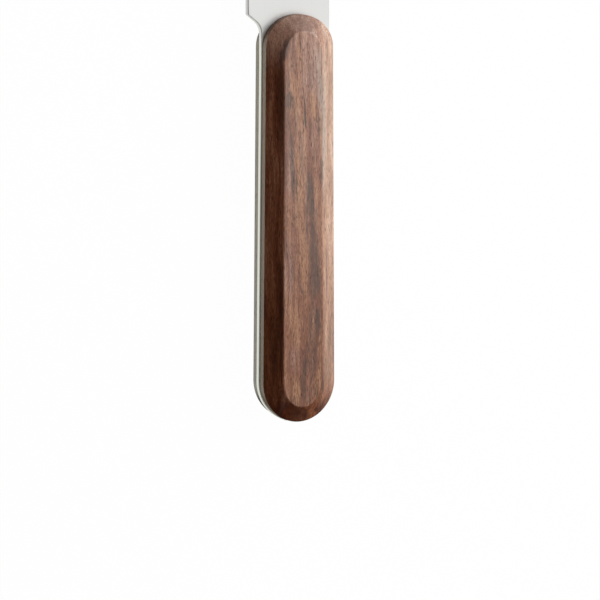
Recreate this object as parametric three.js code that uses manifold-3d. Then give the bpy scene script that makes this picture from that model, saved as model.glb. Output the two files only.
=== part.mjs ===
// A full-tang paring knife with two wooden scales, lying on its back scale.
// Millimetres, +Z up, +Y from the butt to the point, +X towards the spine.
// The origin is on the back scale's flat face, half-way along the scales.
import * as THREE from "three";
import { mergeVertices } from "three/addons/utils/BufferGeometryUtils.js";
import Module from "manifold-3d";

// Scales: slabs with round ends, a little wider at the butt, with a chamfer all round up to a flat facet.
const SCALE_LENGTH = 104.3;
const SCALE_WIDTH_FRONT = 18.2;
const SCALE_WIDTH_BUTT = 19.6;
const SCALE_ROUND_FRONT = 8.2;
const SCALE_ROUND_BUTT = 10.5;
const WALL_HEIGHT = 2.6;
const CHAMFER_DEPTH = 2.75;
const CHAMFER_SIDE_FRONT = 3.95;
const CHAMFER_SIDE_BUTT = 4.4;
const CHAMFER_END_FRONT = 4.1;
const CHAMFER_END_BUTT = 4.3;
const FACET_ROUND_FRONT = 6.6;
const FACET_ROUND_BUTT = 7.4;

// Tang: stands proud of the scales along the edge side and the butt, and is flush with them along the spine.
const TANG_THICKNESS = 1.8;
const TANG_PROUD = 0.25;

// Heel: drops past the tang on a slope, with a concave fillet above the tang and a soft corner.
const HEEL_DROP = 3.65;
const HEEL_SLOPE_DEGREES = 39;
const HEEL_FILLET = 4;
const HEEL_CORNER = 0.6;

// Blade: an unsharpened stretch at the heel, then a flat grind from spine to edge that thins to the point.
const BLADE_LENGTH = 90;
const RICASSO_LENGTH = 5;
const PLUNGE_LENGTH = 4;
const SPINE_STRAIGHT = 22;
const EDGE_STRAIGHT = 40;
const POINT_DROP = 13.6;
const POINT_WIDTH = 0.6;
const POINT_THICKNESS = 0.9;
const BEVEL_WIDTH = 0.8;
const BEVEL_THICKNESS = 0.44;
const EDGE_THICKNESS = 0.1;

// Adhesive film on each side of the tang, kept back from the scale's outline.
const BOND_THICKNESS = 0.15;
const BOND_SETBACK = 0.3;

// Hidden dowels through the tang, blind in both scales.
const PIN_DIAMETER = 3;
const PIN_DEPTH = 3;
const PIN_SETBACK = 18.15;
const PIN_CHAMFER = 0.4;
const PIN_CLEARANCE = 0.25;
const PIN_END_GAP = 0.3;

// Share of each curve to the point that its straight stretch still steers.
const SPINE_SWEEP = 0.5;
const EDGE_SWEEP = 0.6;

// How finely curves are divided.
const ROUND_STEPS = 12;
const BLADE_STEPS = 20;
const PIN_SIDES = 24;
const MERGE_DISTANCE = 1e-4;

// Levels from the rest face up.
const BACK_WALL_Z = CHAMFER_DEPTH;
const BACK_GLUE_Z = BACK_WALL_Z + WALL_HEIGHT;
const TANG_BACK_Z = BACK_GLUE_Z + BOND_THICKNESS;
const TANG_MIDDLE_Z = TANG_BACK_Z + TANG_THICKNESS / 2;
const TANG_FRONT_Z = TANG_BACK_Z + TANG_THICKNESS;
const FRONT_GLUE_Z = TANG_FRONT_Z + BOND_THICKNESS;

// Ends of the scales, and the lines that the knife's length is laid out from.
const SCALE_FRONT_Y = SCALE_LENGTH / 2;
const SCALE_BUTT_Y = -SCALE_LENGTH / 2;
const FRONT_CENTRE_Y = SCALE_FRONT_Y - SCALE_ROUND_FRONT;
const BUTT_CENTRE_Y = SCALE_BUTT_Y + SCALE_ROUND_BUTT;
const HEEL_Y = SCALE_FRONT_Y;
const PLUNGE_Y = HEEL_Y + RICASSO_LENGTH;
const GRIND_Y = PLUNGE_Y + PLUNGE_LENGTH;
const POINT_Y = HEEL_Y + BLADE_LENGTH;
const PIN_PITCH = SCALE_LENGTH / 2 - PIN_SETBACK;
const SPINE_X = SCALE_WIDTH_FRONT / 2;
const TANG_EDGE_X = -(SCALE_WIDTH_FRONT / 2 + TANG_PROUD);
const BLADE_EDGE_X = TANG_EDGE_X - HEEL_DROP;
const POINT_X = SPINE_X - POINT_DROP;

const wasm = await Module();
wasm.setup();

function solidOf(geometry) {
  const bare = geometry.clone();
  bare.deleteAttribute("normal");
  bare.deleteAttribute("uv");
  const merged = mergeVertices(bare, MERGE_DISTANCE);
  const mesh = new wasm.Mesh({
    numProp: 3,
    vertProperties: merged.attributes.position.array,
    triVerts: new Uint32Array(merged.index.array),
  });
  return new wasm.Manifold(mesh);
}

function geometryOf(solid) {
  const mesh = solid.getMesh();
  const geometry = new THREE.BufferGeometry();
  geometry.setAttribute("position", new THREE.BufferAttribute(mesh.vertProperties, 3));
  geometry.setIndex(new THREE.BufferAttribute(mesh.triVerts, 1));
  geometry.computeVertexNormals();
  return geometry;
}

function cut(geometry, cutters) {
  let solid = solidOf(geometry);
  for (const cutter of cutters) {
    solid = solid.subtract(solidOf(cutter));
  }
  return geometryOf(solid);
}

// A closed skin over rings of equal length, each convex and running anticlockwise seen from the last ring.
function loft(rings) {
  const count = rings[0].length;
  const points = rings.flat();
  const faces = [];
  for (let ring = 0; ring < rings.length - 1; ring++) {
    for (let i = 0; i < count; i++) {
      const a = ring * count + i;
      const b = ring * count + ((i + 1) % count);
      faces.push(a, b, b + count);
      faces.push(a, b + count, a + count);
    }
  }
  for (const last of [false, true]) {
    const ring = last ? rings[rings.length - 1] : rings[0];
    const first = points.indexOf(ring[0]);
    const centre = points.length;
    const middle = new THREE.Vector3();
    ring.forEach((point) => middle.addScaledVector(point, 1 / count));
    points.push(middle);
    for (let i = 0; i < count; i++) {
      const a = first + i;
      const b = first + ((i + 1) % count);
      faces.push(centre, last ? a : b, last ? b : a);
    }
  }
  const geometry = new THREE.BufferGeometry().setFromPoints(points);
  geometry.setIndex(faces);
  return geometry;
}

// The round-ended outline that the scales, their facets and the films share.
function slabOutline(inset) {
  const shape = new THREE.Shape();
  const front = SCALE_WIDTH_FRONT / 2 - inset.sideFront;
  const butt = SCALE_WIDTH_BUTT / 2 - inset.sideButt;
  const frontY = SCALE_FRONT_Y - inset.endFront;
  const buttY = SCALE_BUTT_Y + inset.endButt;
  shape.absellipse(0, frontY - inset.roundFront, front, inset.roundFront, 0, Math.PI, false);
  shape.absellipse(0, buttY + inset.roundButt, butt, inset.roundButt, Math.PI, 2 * Math.PI, false);
  return shape;
}

function evenInset(distance) {
  return {
    sideFront: distance,
    sideButt: distance,
    endFront: distance,
    endButt: distance,
    roundFront: SCALE_ROUND_FRONT - distance,
    roundButt: SCALE_ROUND_BUTT - distance,
  };
}

const FACET_INSET = {
  sideFront: CHAMFER_SIDE_FRONT,
  sideButt: CHAMFER_SIDE_BUTT,
  endFront: CHAMFER_END_FRONT,
  endButt: CHAMFER_END_BUTT,
  roundFront: FACET_ROUND_FRONT,
  roundButt: FACET_ROUND_BUTT,
};

function ringAt(shape, z) {
  return shape.getPoints(ROUND_STEPS).map((point) => new THREE.Vector3(point.x, point.y, z));
}

// Round holes along Z for the dowels, from one level to another.
function pinHoles(fromZ, toZ) {
  const radius = PIN_DIAMETER / 2 + PIN_CLEARANCE;
  return [-PIN_PITCH, 0, PIN_PITCH].map((y) => {
    const hole = new THREE.CylinderGeometry(radius, radius, toZ - fromZ, PIN_SIDES);
    hole.rotateX(Math.PI / 2);
    hole.translate(0, y, (fromZ + toZ) / 2);
    return hole;
  });
}

// A scale with its glue face on Z = 0 and its facet up.
function scaleGeometry() {
  const outline = slabOutline(evenInset(0));
  const facet = slabOutline(FACET_INSET);
  const body = loft([
    ringAt(outline, 0),
    ringAt(outline, WALL_HEIGHT),
    ringAt(facet, WALL_HEIGHT + CHAMFER_DEPTH),
  ]);
  const depth = PIN_DEPTH + PIN_END_GAP;
  return cut(body, pinHoles(-depth, depth));
}

// A film on Z = 0, with holes that the dowels pass through.
function bondGeometry() {
  const film = new THREE.ExtrudeGeometry(slabOutline(evenInset(BOND_SETBACK)), {
    depth: BOND_THICKNESS,
    bevelEnabled: false,
    curveSegments: ROUND_STEPS,
  });
  return cut(film, pinHoles(-BOND_THICKNESS, 2 * BOND_THICKNESS));
}

// Runs a path to a corner, round it on an arc, and on towards the next point.
function roundCorner(path, before, corner, after, radius) {
  const back = before.clone().sub(corner).normalize();
  const ahead = after.clone().sub(corner).normalize();
  const half = Math.acos(back.dot(ahead)) / 2;
  const start = corner.clone().addScaledVector(back, radius / Math.tan(half));
  const end = corner.clone().addScaledVector(ahead, radius / Math.tan(half));
  const inwards = back.clone().add(ahead).normalize();
  const centre = corner.clone().addScaledVector(inwards, radius / Math.sin(half));
  const from = start.clone().sub(centre);
  const to = end.clone().sub(centre);
  const turnsRight = back.cross(ahead) > 0;
  path.lineTo(start.x, start.y);
  path.absarc(centre.x, centre.y, radius, from.angle(), to.angle(), turnsRight);
}

// The blank's outline from the butt to the end of the ricasso, anticlockwise from the butt's apex.
function tangOutline() {
  const shape = new THREE.Shape();
  const buttRound = SCALE_ROUND_BUTT + TANG_PROUD;
  const spineRound = SCALE_WIDTH_BUTT / 2;
  const edgeRound = SCALE_WIDTH_BUTT / 2 + TANG_PROUD;
  shape.absellipse(0, BUTT_CENTRE_Y, spineRound, buttRound, -Math.PI / 2, 0, false);
  shape.lineTo(SPINE_X, FRONT_CENTRE_Y);
  shape.lineTo(SPINE_X, PLUNGE_Y);
  shape.lineTo(BLADE_EDGE_X, PLUNGE_Y);
  const heelRise = HEEL_DROP * Math.tan(THREE.MathUtils.degToRad(HEEL_SLOPE_DEGREES));
  const edgeEnd = new THREE.Vector2(BLADE_EDGE_X, PLUNGE_Y);
  const heel = new THREE.Vector2(BLADE_EDGE_X, HEEL_Y);
  const root = new THREE.Vector2(TANG_EDGE_X, HEEL_Y - heelRise);
  const tangSide = new THREE.Vector2(TANG_EDGE_X, FRONT_CENTRE_Y - HEEL_FILLET);
  roundCorner(shape, edgeEnd, heel, root, HEEL_CORNER);
  roundCorner(shape, heel, root, tangSide, HEEL_FILLET);
  shape.lineTo(tangSide.x, tangSide.y);
  shape.absellipse(0, BUTT_CENTRE_Y, edgeRound, buttRound, Math.PI, 1.5 * Math.PI, false);
  return shape;
}

// A section of the blade between a point on the spine and one on the edge, with three thicknesses. The bevel never
// takes more than half of the blade's width, which matters only at the point.
function bladeSection(spine, edge, spineThickness, bevelThickness, edgeThickness) {
  const bevel = Math.min(BEVEL_WIDTH, spine.distanceTo(edge) / 2);
  const shoulder = edge.clone().addScaledVector(spine.clone().sub(edge).normalize(), bevel);
  const half = [
    [spine, spineThickness / 2],
    [shoulder, bevelThickness / 2],
    [edge, edgeThickness / 2],
  ];
  const front = half.map(([at, z]) => new THREE.Vector3(at.x, at.y, TANG_MIDDLE_Z + z));
  const back = half.map(([at, z]) => new THREE.Vector3(at.x, at.y, TANG_MIDDLE_Z - z));
  return [...front.reverse(), ...back];
}

// A straight stretch and then one curve to the point.
function bladeLine(x, straight, sweep, end) {
  const line = new THREE.CurvePath();
  const start = new THREE.Vector2(x, GRIND_Y);
  const turn = new THREE.Vector2(x, GRIND_Y + straight);
  const steer = new THREE.Vector2(x, THREE.MathUtils.lerp(turn.y, end.y, sweep));
  line.add(new THREE.LineCurve(start, turn));
  line.add(new THREE.QuadraticBezierCurve(turn, steer, end));
  return line;
}

// The ground blade, from inside the ricasso to the point.
function groundBlade() {
  const full = TANG_THICKNESS;
  const sections = [HEEL_Y + RICASSO_LENGTH / 2, PLUNGE_Y].map((y) => {
    return bladeSection(new THREE.Vector2(SPINE_X, y), new THREE.Vector2(BLADE_EDGE_X, y), full, full, full);
  });
  const spineEnd = new THREE.Vector2(POINT_X + POINT_WIDTH / 2, POINT_Y);
  const edgeEnd = new THREE.Vector2(POINT_X - POINT_WIDTH / 2, POINT_Y);
  const spineLine = bladeLine(SPINE_X, SPINE_STRAIGHT, SPINE_SWEEP, spineEnd);
  const edgeLine = bladeLine(BLADE_EDGE_X, EDGE_STRAIGHT, EDGE_SWEEP, edgeEnd);
  for (let step = 0; step <= BLADE_STEPS; step++) {
    const share = step / BLADE_STEPS;
    const spine = spineLine.getPointAt(share);
    const edge = edgeLine.getPointAt(share);
    const thickness = THREE.MathUtils.lerp(full, POINT_THICKNESS, share);
    sections.push(bladeSection(spine, edge, thickness, BEVEL_THICKNESS, EDGE_THICKNESS));
  }
  return loft(sections);
}

function bladeGeometry() {
  const blank = new THREE.ExtrudeGeometry(tangOutline(), {
    depth: TANG_THICKNESS,
    bevelEnabled: false,
    curveSegments: ROUND_STEPS,
  });
  blank.translate(0, 0, TANG_BACK_Z);
  const drilled = cut(blank, pinHoles(TANG_BACK_Z - TANG_THICKNESS, TANG_FRONT_Z + TANG_THICKNESS));
  return geometryOf(solidOf(drilled).add(solidOf(groundBlade())));
}

// A dowel along Z with chamfered ends, centred on its own middle.
function pinGeometry() {
  const radius = PIN_DIAMETER / 2;
  const half = TANG_THICKNESS / 2 + BOND_THICKNESS + PIN_DEPTH;
  const profile = [
    new THREE.Vector2(0, -half),
    new THREE.Vector2(radius - PIN_CHAMFER, -half),
    new THREE.Vector2(radius, -half + PIN_CHAMFER),
    new THREE.Vector2(radius, half - PIN_CHAMFER),
    new THREE.Vector2(radius - PIN_CHAMFER, half),
    new THREE.Vector2(0, half),
  ];
  const pin = new THREE.LatheGeometry(profile, PIN_SIDES);
  pin.rotateX(Math.PI / 2);
  return pin;
}

const steel = new THREE.MeshStandardMaterial({ color: 0xd9d9d6, roughness: 0.35, metalness: 1 });
const pinSteel = new THREE.MeshStandardMaterial({ color: 0xb8b8b4, roughness: 0.4, metalness: 1 });
const wood = new THREE.MeshStandardMaterial({ color: 0x7d5a4a, roughness: 0.5, metalness: 0 });
const adhesive = new THREE.MeshStandardMaterial({ color: 0x2a211b, roughness: 0.6, metalness: 0 });

const knife = new THREE.Group();

function addPiece(name, geometry, material, z) {
  const piece = new THREE.Mesh(geometry, material.clone());
  piece.name = name;
  piece.position.z = z;
  knife.add(piece);
  return piece;
}

addPiece("blade", bladeGeometry(), steel, 0);

addPiece("front_scale", scaleGeometry(), wood, FRONT_GLUE_Z);
const backScale = addPiece("back_scale", scaleGeometry(), wood, BACK_GLUE_Z);
backScale.rotation.y = Math.PI;

addPiece("front_bond", bondGeometry(), adhesive, TANG_FRONT_Z);
addPiece("back_bond", bondGeometry(), adhesive, BACK_GLUE_Z);

["butt_pin", "middle_pin", "front_pin"].forEach((name, i) => {
  const pin = addPiece(name, pinGeometry(), pinSteel, TANG_MIDDLE_Z);
  pin.position.y = (i - 1) * PIN_PITCH;
});

export default knife;
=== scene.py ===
# %% [markdown]
# # A paring knife with wooden scales
# The knife is a flat steel blank with a wooden scale bonded to each side of its tang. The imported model
# gives the frame: every piece keeps the place and the size it has there. This lesson models the blade and
# the two scales afresh, with the soft corners that a plain solid lacks, gives every piece a finish, and
# lights it as in a small studio.

import math

import bmesh
import bpy
from mathutils import Euler, Matrix, Vector


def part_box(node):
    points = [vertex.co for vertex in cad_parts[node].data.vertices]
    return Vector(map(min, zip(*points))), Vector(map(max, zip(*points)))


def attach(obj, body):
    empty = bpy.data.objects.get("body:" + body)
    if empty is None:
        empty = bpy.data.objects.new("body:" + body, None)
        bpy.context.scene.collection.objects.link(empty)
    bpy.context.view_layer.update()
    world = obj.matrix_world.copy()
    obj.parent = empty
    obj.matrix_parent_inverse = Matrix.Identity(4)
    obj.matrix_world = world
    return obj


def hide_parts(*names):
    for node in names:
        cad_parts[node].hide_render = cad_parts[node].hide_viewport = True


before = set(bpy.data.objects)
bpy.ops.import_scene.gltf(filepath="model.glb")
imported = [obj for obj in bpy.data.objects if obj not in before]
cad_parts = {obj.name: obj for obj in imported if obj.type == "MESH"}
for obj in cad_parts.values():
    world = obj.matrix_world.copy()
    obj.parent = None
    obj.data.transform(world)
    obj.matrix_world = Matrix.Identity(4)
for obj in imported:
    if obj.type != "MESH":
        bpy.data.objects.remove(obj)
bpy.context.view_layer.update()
MM = 0.001
print("nodes:", sorted(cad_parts))

# %% [markdown]
# ## The sizes
# The lengths along and across the handle are read from the frame, so the new pieces can't drift from the
# solids. What a box can't tell, such as how round an end is or how wide the chamfer is, is written once,
# in millimetres. A half is half a width across the knife, and a round is how far a rounded end reaches
# along it.

# %% Sizes of the scales and the blade
scale_low, scale_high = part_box("front_scale")
back_low, back_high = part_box("back_scale")
blade_low, blade_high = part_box("blade")

SCALE_FRONT_Y = scale_high.y / MM
SCALE_BUTT_Y = scale_low.y / MM
SCALE_BUTT_HALF = scale_high.x / MM
SCALE_HEIGHT = (scale_high.z - scale_low.z) / MM
TANG_THICKNESS = (blade_high.z - blade_low.z) / MM
TANG_MIDDLE_Z = (blade_high.z + blade_low.z) / 2 / MM
BLADE_EDGE_X = blade_low.x / MM
POINT_Y = blade_high.y / MM

SCALE_FRONT_HALF = 9.1
SCALE_ROUND_FRONT = 8.2
SCALE_ROUND_BUTT = 10.5
CHAMFER_DEPTH = 2.75
CHAMFER_END_FRONT = 4.1
CHAMFER_END_BUTT = 4.3
FACET_FRONT_HALF = 5.15
FACET_BUTT_HALF = 5.4
FACET_ROUND_FRONT = 6.6
FACET_ROUND_BUTT = 7.4
FRONT_CENTRE_Y = SCALE_FRONT_Y - SCALE_ROUND_FRONT
BUTT_CENTRE_Y = SCALE_BUTT_Y + SCALE_ROUND_BUTT
print(f"scales {SCALE_FRONT_Y - SCALE_BUTT_Y:.1f} mm long, tang {TANG_THICKNESS:.2f} mm thick")
print(f"knife from z = {back_low.z / MM:.2f} to {scale_high.z / MM:.2f} mm")

# %% [markdown]
# ## The camera
# The knife lies on its back scale and the camera hangs over it, a little to the left and towards the
# point. Its angles were found by fitting the handle's edges to the picture, so the long lens is aimed
# first and all shapes are judged through it. A rotation of nothing looks straight down with +Y up, so the
# turns are small and easy to read.

# %% Aim the camera
CAMERA_YAW = 21.744
CAMERA_PITCH = 8.655
CAMERA_ROLL = 0.137
CAMERA_DISTANCE = 750
CAMERA_TARGET = Vector((1.673, -21.121, TANG_MIDDLE_Z))
FOCAL_PIXELS = 2921.5
IMAGE_PIXELS = 600
SENSOR_MM = 36
NEAREST_SEEN = 10

swing_left = Matrix.Rotation(math.radians(-CAMERA_YAW), 3, "Y")
swing_ahead = Matrix.Rotation(math.radians(-CAMERA_PITCH), 3, "X")
upright = Matrix.Rotation(math.radians(CAMERA_ROLL), 3, "Z")
camera_turn = swing_left @ swing_ahead @ upright
camera_place = (CAMERA_TARGET + camera_turn.col[2] * CAMERA_DISTANCE) * MM

bpy.ops.object.camera_add(location=camera_place, rotation=camera_turn.to_euler())
camera = bpy.context.object
camera.name = "studio_camera"
camera.data.sensor_width = SENSOR_MM
camera.data.lens = FOCAL_PIXELS / IMAGE_PIXELS * SENSOR_MM
camera.data.clip_start = NEAREST_SEEN * MM
bpy.context.scene.camera = camera
print("camera at", [round(v, 3) for v in camera.location], "lens", round(camera.data.lens, 1))

# %% [markdown]
# ## Helpers for modelling
# An operator works on whatever is selected, so each step selects its corners first, by their place. These
# few functions do that, and they take lengths in millimetres.

# %% Selecting, moving and softening
def select_nothing():
    bpy.ops.object.select_all(action="DESELECT")


def pick(test):
    """Selects the corners in edit mode that pass the test, which gets each corner's place in millimetres."""
    mesh = bmesh.from_edit_mesh(bpy.context.object.data)
    for corner in mesh.verts:
        corner.select = bool(test(corner.co / MM, corner.index))
    mesh.select_flush_mode()
    bmesh.update_edit_mesh(bpy.context.object.data)


def move(x=0.0, y=0.0, z=0.0):
    bpy.ops.transform.translate(value=(x * MM, y * MM, z * MM))


def stretch(x=1.0, y=1.0, z=1.0, about=(0.0, 0.0, 0.0)):
    bpy.ops.transform.resize(value=(x, y, z), center_override=Vector(about) * MM)


def soften(test, width, steps):
    """Rounds the edges whose both ends pass the test."""
    bpy.ops.mesh.select_mode(type="VERT")
    pick(test)
    bpy.ops.mesh.select_mode(type="EDGE")
    bpy.ops.mesh.bevel(offset=width * MM, segments=steps, affect="EDGES", clamp_overlap=True)
    bpy.ops.mesh.select_mode(type="VERT")


# %% [markdown]
# ## The drill
# Three hidden dowels pin the scales to the tang, and each sits in a hole that is a little wider and
# deeper than it is. Nobody sees the holes on the finished knife, but whoever takes the pieces apart will
# look for them. The bits are modelled once from the dowels' own boxes: a cylinder, copied along the
# handle. Every piece is modelled about z = 0 at its glue plane or its middle, so the same bits drill the
# tang through and the scales blind, by a Boolean. Drilling belongs to finishing a piece: corners merged,
# faces outwards, drilled and shaded smooth.

# %% Model the three bits
HOLE_CLEARANCE = 0.25
HOLE_END_GAP = 0.3
HOLE_SIDES = 32
DOWELS = ("butt_pin", "middle_pin", "front_pin")
butt_pin_low, butt_pin_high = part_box("butt_pin")
middle_pin_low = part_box("middle_pin")[0]
hole_radius = (butt_pin_high.x - butt_pin_low.x) / 2 + HOLE_CLEARANCE * MM
hole_depth = butt_pin_high.z - scale_low.z + HOLE_END_GAP * MM
dowel_pitch = middle_pin_low.y - butt_pin_low.y
butt_pin_y = (butt_pin_low.y + butt_pin_high.y) / 2

select_nothing()
bpy.ops.mesh.primitive_cylinder_add(
    vertices=HOLE_SIDES, radius=hole_radius, depth=2 * hole_depth, location=(0, butt_pin_y, 0)
)
drill_bits = bpy.context.object
drill_bits.name = "drill_bits"
bpy.ops.object.transform_apply(location=True, rotation=True, scale=True)
bpy.ops.object.mode_set(mode="EDIT")
for dowel in DOWELS[1:]:
    bpy.ops.mesh.duplicate_move(TRANSFORM_OT_translate={"value": (0, dowel_pitch, 0)})
bpy.ops.object.mode_set(mode="OBJECT")
print(f"{len(DOWELS)} bits {hole_radius / MM:.2f} mm in radius, {hole_depth / MM:.2f} mm deep in the wood")

# %% Drilling and finishing a piece
MERGE_DISTANCE = 0.0001
FLAT_WEIGHT = 100


def drill(piece):
    holes = piece.modifiers.new("dowel_holes", "BOOLEAN")
    holes.operation = "DIFFERENCE"
    holes.solver = "EXACT"
    holes.object = drill_bits
    bpy.ops.object.modifier_apply(modifier="dowel_holes")


def volume_of(piece):
    """The volume inside the piece; it comes out negative if the faces point inwards."""
    mesh = bmesh.new()
    mesh.from_mesh(piece.data)
    volume = mesh.calc_volume(signed=True)
    mesh.free()
    return volume


def finish_piece(name, smooth_degrees):
    """Merges doubles, turns the faces outwards, drills the piece and shades it so that flats stay flat."""
    bpy.ops.mesh.select_all(action="SELECT")
    bpy.ops.mesh.remove_doubles(threshold=MERGE_DISTANCE * MM)
    bpy.ops.mesh.normals_make_consistent(inside=False)
    bpy.ops.object.mode_set(mode="OBJECT")
    piece = bpy.context.object
    piece.name = name
    piece.data.name = name
    drill(piece)
    bpy.ops.object.shade_smooth_by_angle(angle=math.radians(smooth_degrees))
    flats = piece.modifiers.new("flats", "WEIGHTED_NORMAL")
    flats.keep_sharp = True
    flats.weight = FLAT_WEIGHT
    bpy.ops.object.modifier_apply(modifier="flats")
    print(name, len(piece.data.polygons), "faces,", round(volume_of(piece) / MM**3), "cubic millimetres")
    return piece


# %% [markdown]
# ## The scales
# Each scale is a slab of hardwood sawn to a round-ended outline, sanded to a steep wall and then
# chamfered up to a long flat facet. It starts as a disc: its two halves are pulled apart and given the
# ends' own widths, the face is extruded to a wall, and once more to a facet that is drawn in. Bevels then
# ease the edges as sandpaper does: the facet's edge is soft, the wall's edge is firmer, and the edge at
# the glue line is only just broken.

# %% Model a scale on its glue face
OUTLINE_STEPS = 128
FACET_EASE = 0.25
WALL_EASE = 0.14
EASE_STEPS = 5
GLUE_EASE = 0.04
GLUE_EASE_STEPS = 2
NEAR = 0.01
WALL_HEIGHT = SCALE_HEIGHT - CHAMFER_DEPTH
FACET_FRONT_Y = SCALE_FRONT_Y - CHAMFER_END_FRONT - FACET_ROUND_FRONT
FACET_BUTT_Y = SCALE_BUTT_Y + CHAMFER_END_BUTT + FACET_ROUND_BUTT


def is_front(at, index):
    return at.y > 0


def is_butt(at, index):
    return at.y < 0


def is_top(at, index):
    return at.z > SCALE_HEIGHT - NEAR


def draw_in(is_end, wide, long, centre_y, facet_y):
    """Shrinks one end of the top outline about that end's centre and moves it to where the facet's end is."""
    pick(lambda at, index: is_top(at, index) and is_end(at, index))
    stretch(wide, long, about=(0, centre_y, 0))
    move(y=facet_y - centre_y)


def model_scale(name):
    select_nothing()
    bpy.ops.mesh.primitive_circle_add(
        vertices=OUTLINE_STEPS, radius=MM, fill_type="NGON", rotation=(0, 0, math.pi / OUTLINE_STEPS)
    )
    bpy.ops.object.transform_apply(location=True, rotation=True, scale=True)
    bpy.ops.object.mode_set(mode="EDIT")
    pick(is_front)
    stretch(SCALE_FRONT_HALF, SCALE_ROUND_FRONT)
    move(y=FRONT_CENTRE_Y)
    pick(is_butt)
    stretch(SCALE_BUTT_HALF, SCALE_ROUND_BUTT)
    move(y=BUTT_CENTRE_Y)
    bpy.ops.mesh.select_all(action="SELECT")
    bpy.ops.mesh.extrude_region_move(TRANSFORM_OT_translate={"value": (0, 0, WALL_HEIGHT * MM)})
    bpy.ops.mesh.extrude_region_move(TRANSFORM_OT_translate={"value": (0, 0, CHAMFER_DEPTH * MM)})
    front_shares = (FACET_FRONT_HALF / SCALE_FRONT_HALF, FACET_ROUND_FRONT / SCALE_ROUND_FRONT)
    butt_shares = (FACET_BUTT_HALF / SCALE_BUTT_HALF, FACET_ROUND_BUTT / SCALE_ROUND_BUTT)
    draw_in(is_front, *front_shares, FRONT_CENTRE_Y, FACET_FRONT_Y)
    draw_in(is_butt, *butt_shares, BUTT_CENTRE_Y, FACET_BUTT_Y)
    soften(is_top, FACET_EASE, EASE_STEPS)
    soften(lambda at, index: abs(at.z - WALL_HEIGHT) < NEAR, WALL_EASE, EASE_STEPS)
    soften(lambda at, index: at.z < NEAR, GLUE_EASE, GLUE_EASE_STEPS)
    return finish_piece(name, smooth_degrees=40)


# %% Place both scales
front_scale = model_scale("front_wood_scale")
front_scale.location.z = scale_low.z
bpy.ops.object.transform_apply(location=True, rotation=True, scale=True)
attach(front_scale, "root")
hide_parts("front_scale")

back_scale = model_scale("back_wood_scale")
back_scale.rotation_euler = Euler((0, math.pi, 0))
back_scale.location.z = back_high.z
bpy.ops.object.transform_apply(location=True, rotation=True, scale=True)
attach(back_scale, "root")
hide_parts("back_scale")
print(f"glue faces at z = {scale_low.z / MM:.2f} and {back_high.z / MM:.2f} mm")

# %% [markdown]
# ## The blade and tang
# Blade, heel and tang are one stamped blank. A grid is the natural start: its rows run across the knife
# from the edge to the spine, and each row is stretched and moved to the width and place that the outline
# has there. Solidify then makes it a plate, and the plate is thinned towards the edge, as a grinding
# wheel does it, from the plunge on. The corners are rounded last, most at the heel, where a thumb may
# rest, and least where the tang lies flush with the wood on the spine's side.

# %% The outline as two curves
TANG_PROUD = 0.25
HEEL_DROP = 3.65
HEEL_SLOPE = math.radians(39)
HEEL_FILLET = 4
HEEL_CORNER = 0.6
RICASSO_LENGTH = 5
PLUNGE_LENGTH = 4
SPINE_STRAIGHT = 22
EDGE_STRAIGHT = 40
SPINE_SWEEP = 0.5
EDGE_SWEEP = 0.6
POINT_DROP = 13.6
POINT_WIDTH = 0.6

SPINE_X = SCALE_FRONT_HALF
TANG_EDGE_X = -(SCALE_FRONT_HALF + TANG_PROUD)
HEEL_Y = SCALE_FRONT_Y
PLUNGE_Y = HEEL_Y + RICASSO_LENGTH
GRIND_Y = PLUNGE_Y + PLUNGE_LENGTH
POINT_X = SPINE_X - POINT_DROP
HEEL_ROOT_Y = HEEL_Y - HEEL_DROP * math.tan(HEEL_SLOPE)
turn_half = math.tan((math.pi / 2 - HEEL_SLOPE) / 2)
FILLET_START_Y = HEEL_ROOT_Y - HEEL_FILLET * turn_half
FILLET_END_Y = FILLET_START_Y + HEEL_FILLET * math.cos(HEEL_SLOPE)
CORNER_END_Y = HEEL_Y + HEEL_CORNER * turn_half
CORNER_START_Y = CORNER_END_Y - HEEL_CORNER * math.cos(HEEL_SLOPE)


def blend(start, end, share):
    return start + (end - start) * share


def round_butt(y, half_width):
    """How wide the round butt is at y, on the side of that half width."""
    along = (BUTT_CENTRE_Y - y) / (SCALE_ROUND_BUTT + TANG_PROUD)
    return half_width * math.sqrt(max(0.0, 1 - along**2))


def sweep_to_point(y, x, straight, sweep, end_x):
    """A straight stretch past the plunge, then one quadratic curve to the point, steered by its sweep."""
    turn_y = GRIND_Y + straight
    if y <= turn_y:
        return x
    share = (y - turn_y) / (POINT_Y - turn_y)
    bow = 1 - 2 * sweep
    along = share if abs(bow) < 1e-6 else (math.sqrt(sweep**2 + bow * share) - sweep) / bow
    return blend(x, end_x, along**2)


def edge_x(y):
    """The outline on the cutting side: butt, tang, fillet, heel, edge and belly."""
    butt_half = SCALE_BUTT_HALF + TANG_PROUD
    straight_y = FRONT_CENTRE_Y - HEEL_FILLET
    if y < BUTT_CENTRE_Y:
        return -round_butt(y, butt_half)
    if y < straight_y:
        return blend(-butt_half, TANG_EDGE_X, (y - BUTT_CENTRE_Y) / (straight_y - BUTT_CENTRE_Y))
    if y < FILLET_START_Y:
        return TANG_EDGE_X
    if y < FILLET_END_Y:
        rise = y - FILLET_START_Y
        return TANG_EDGE_X - HEEL_FILLET + math.sqrt(HEEL_FILLET**2 - rise**2)
    if y < CORNER_START_Y:
        return TANG_EDGE_X - (y - HEEL_ROOT_Y) / math.tan(HEEL_SLOPE)
    if y < CORNER_END_Y:
        fall = CORNER_END_Y - y
        return BLADE_EDGE_X + HEEL_CORNER - math.sqrt(HEEL_CORNER**2 - fall**2)
    return sweep_to_point(y, BLADE_EDGE_X, EDGE_STRAIGHT, EDGE_SWEEP, POINT_X - POINT_WIDTH / 2)


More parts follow.
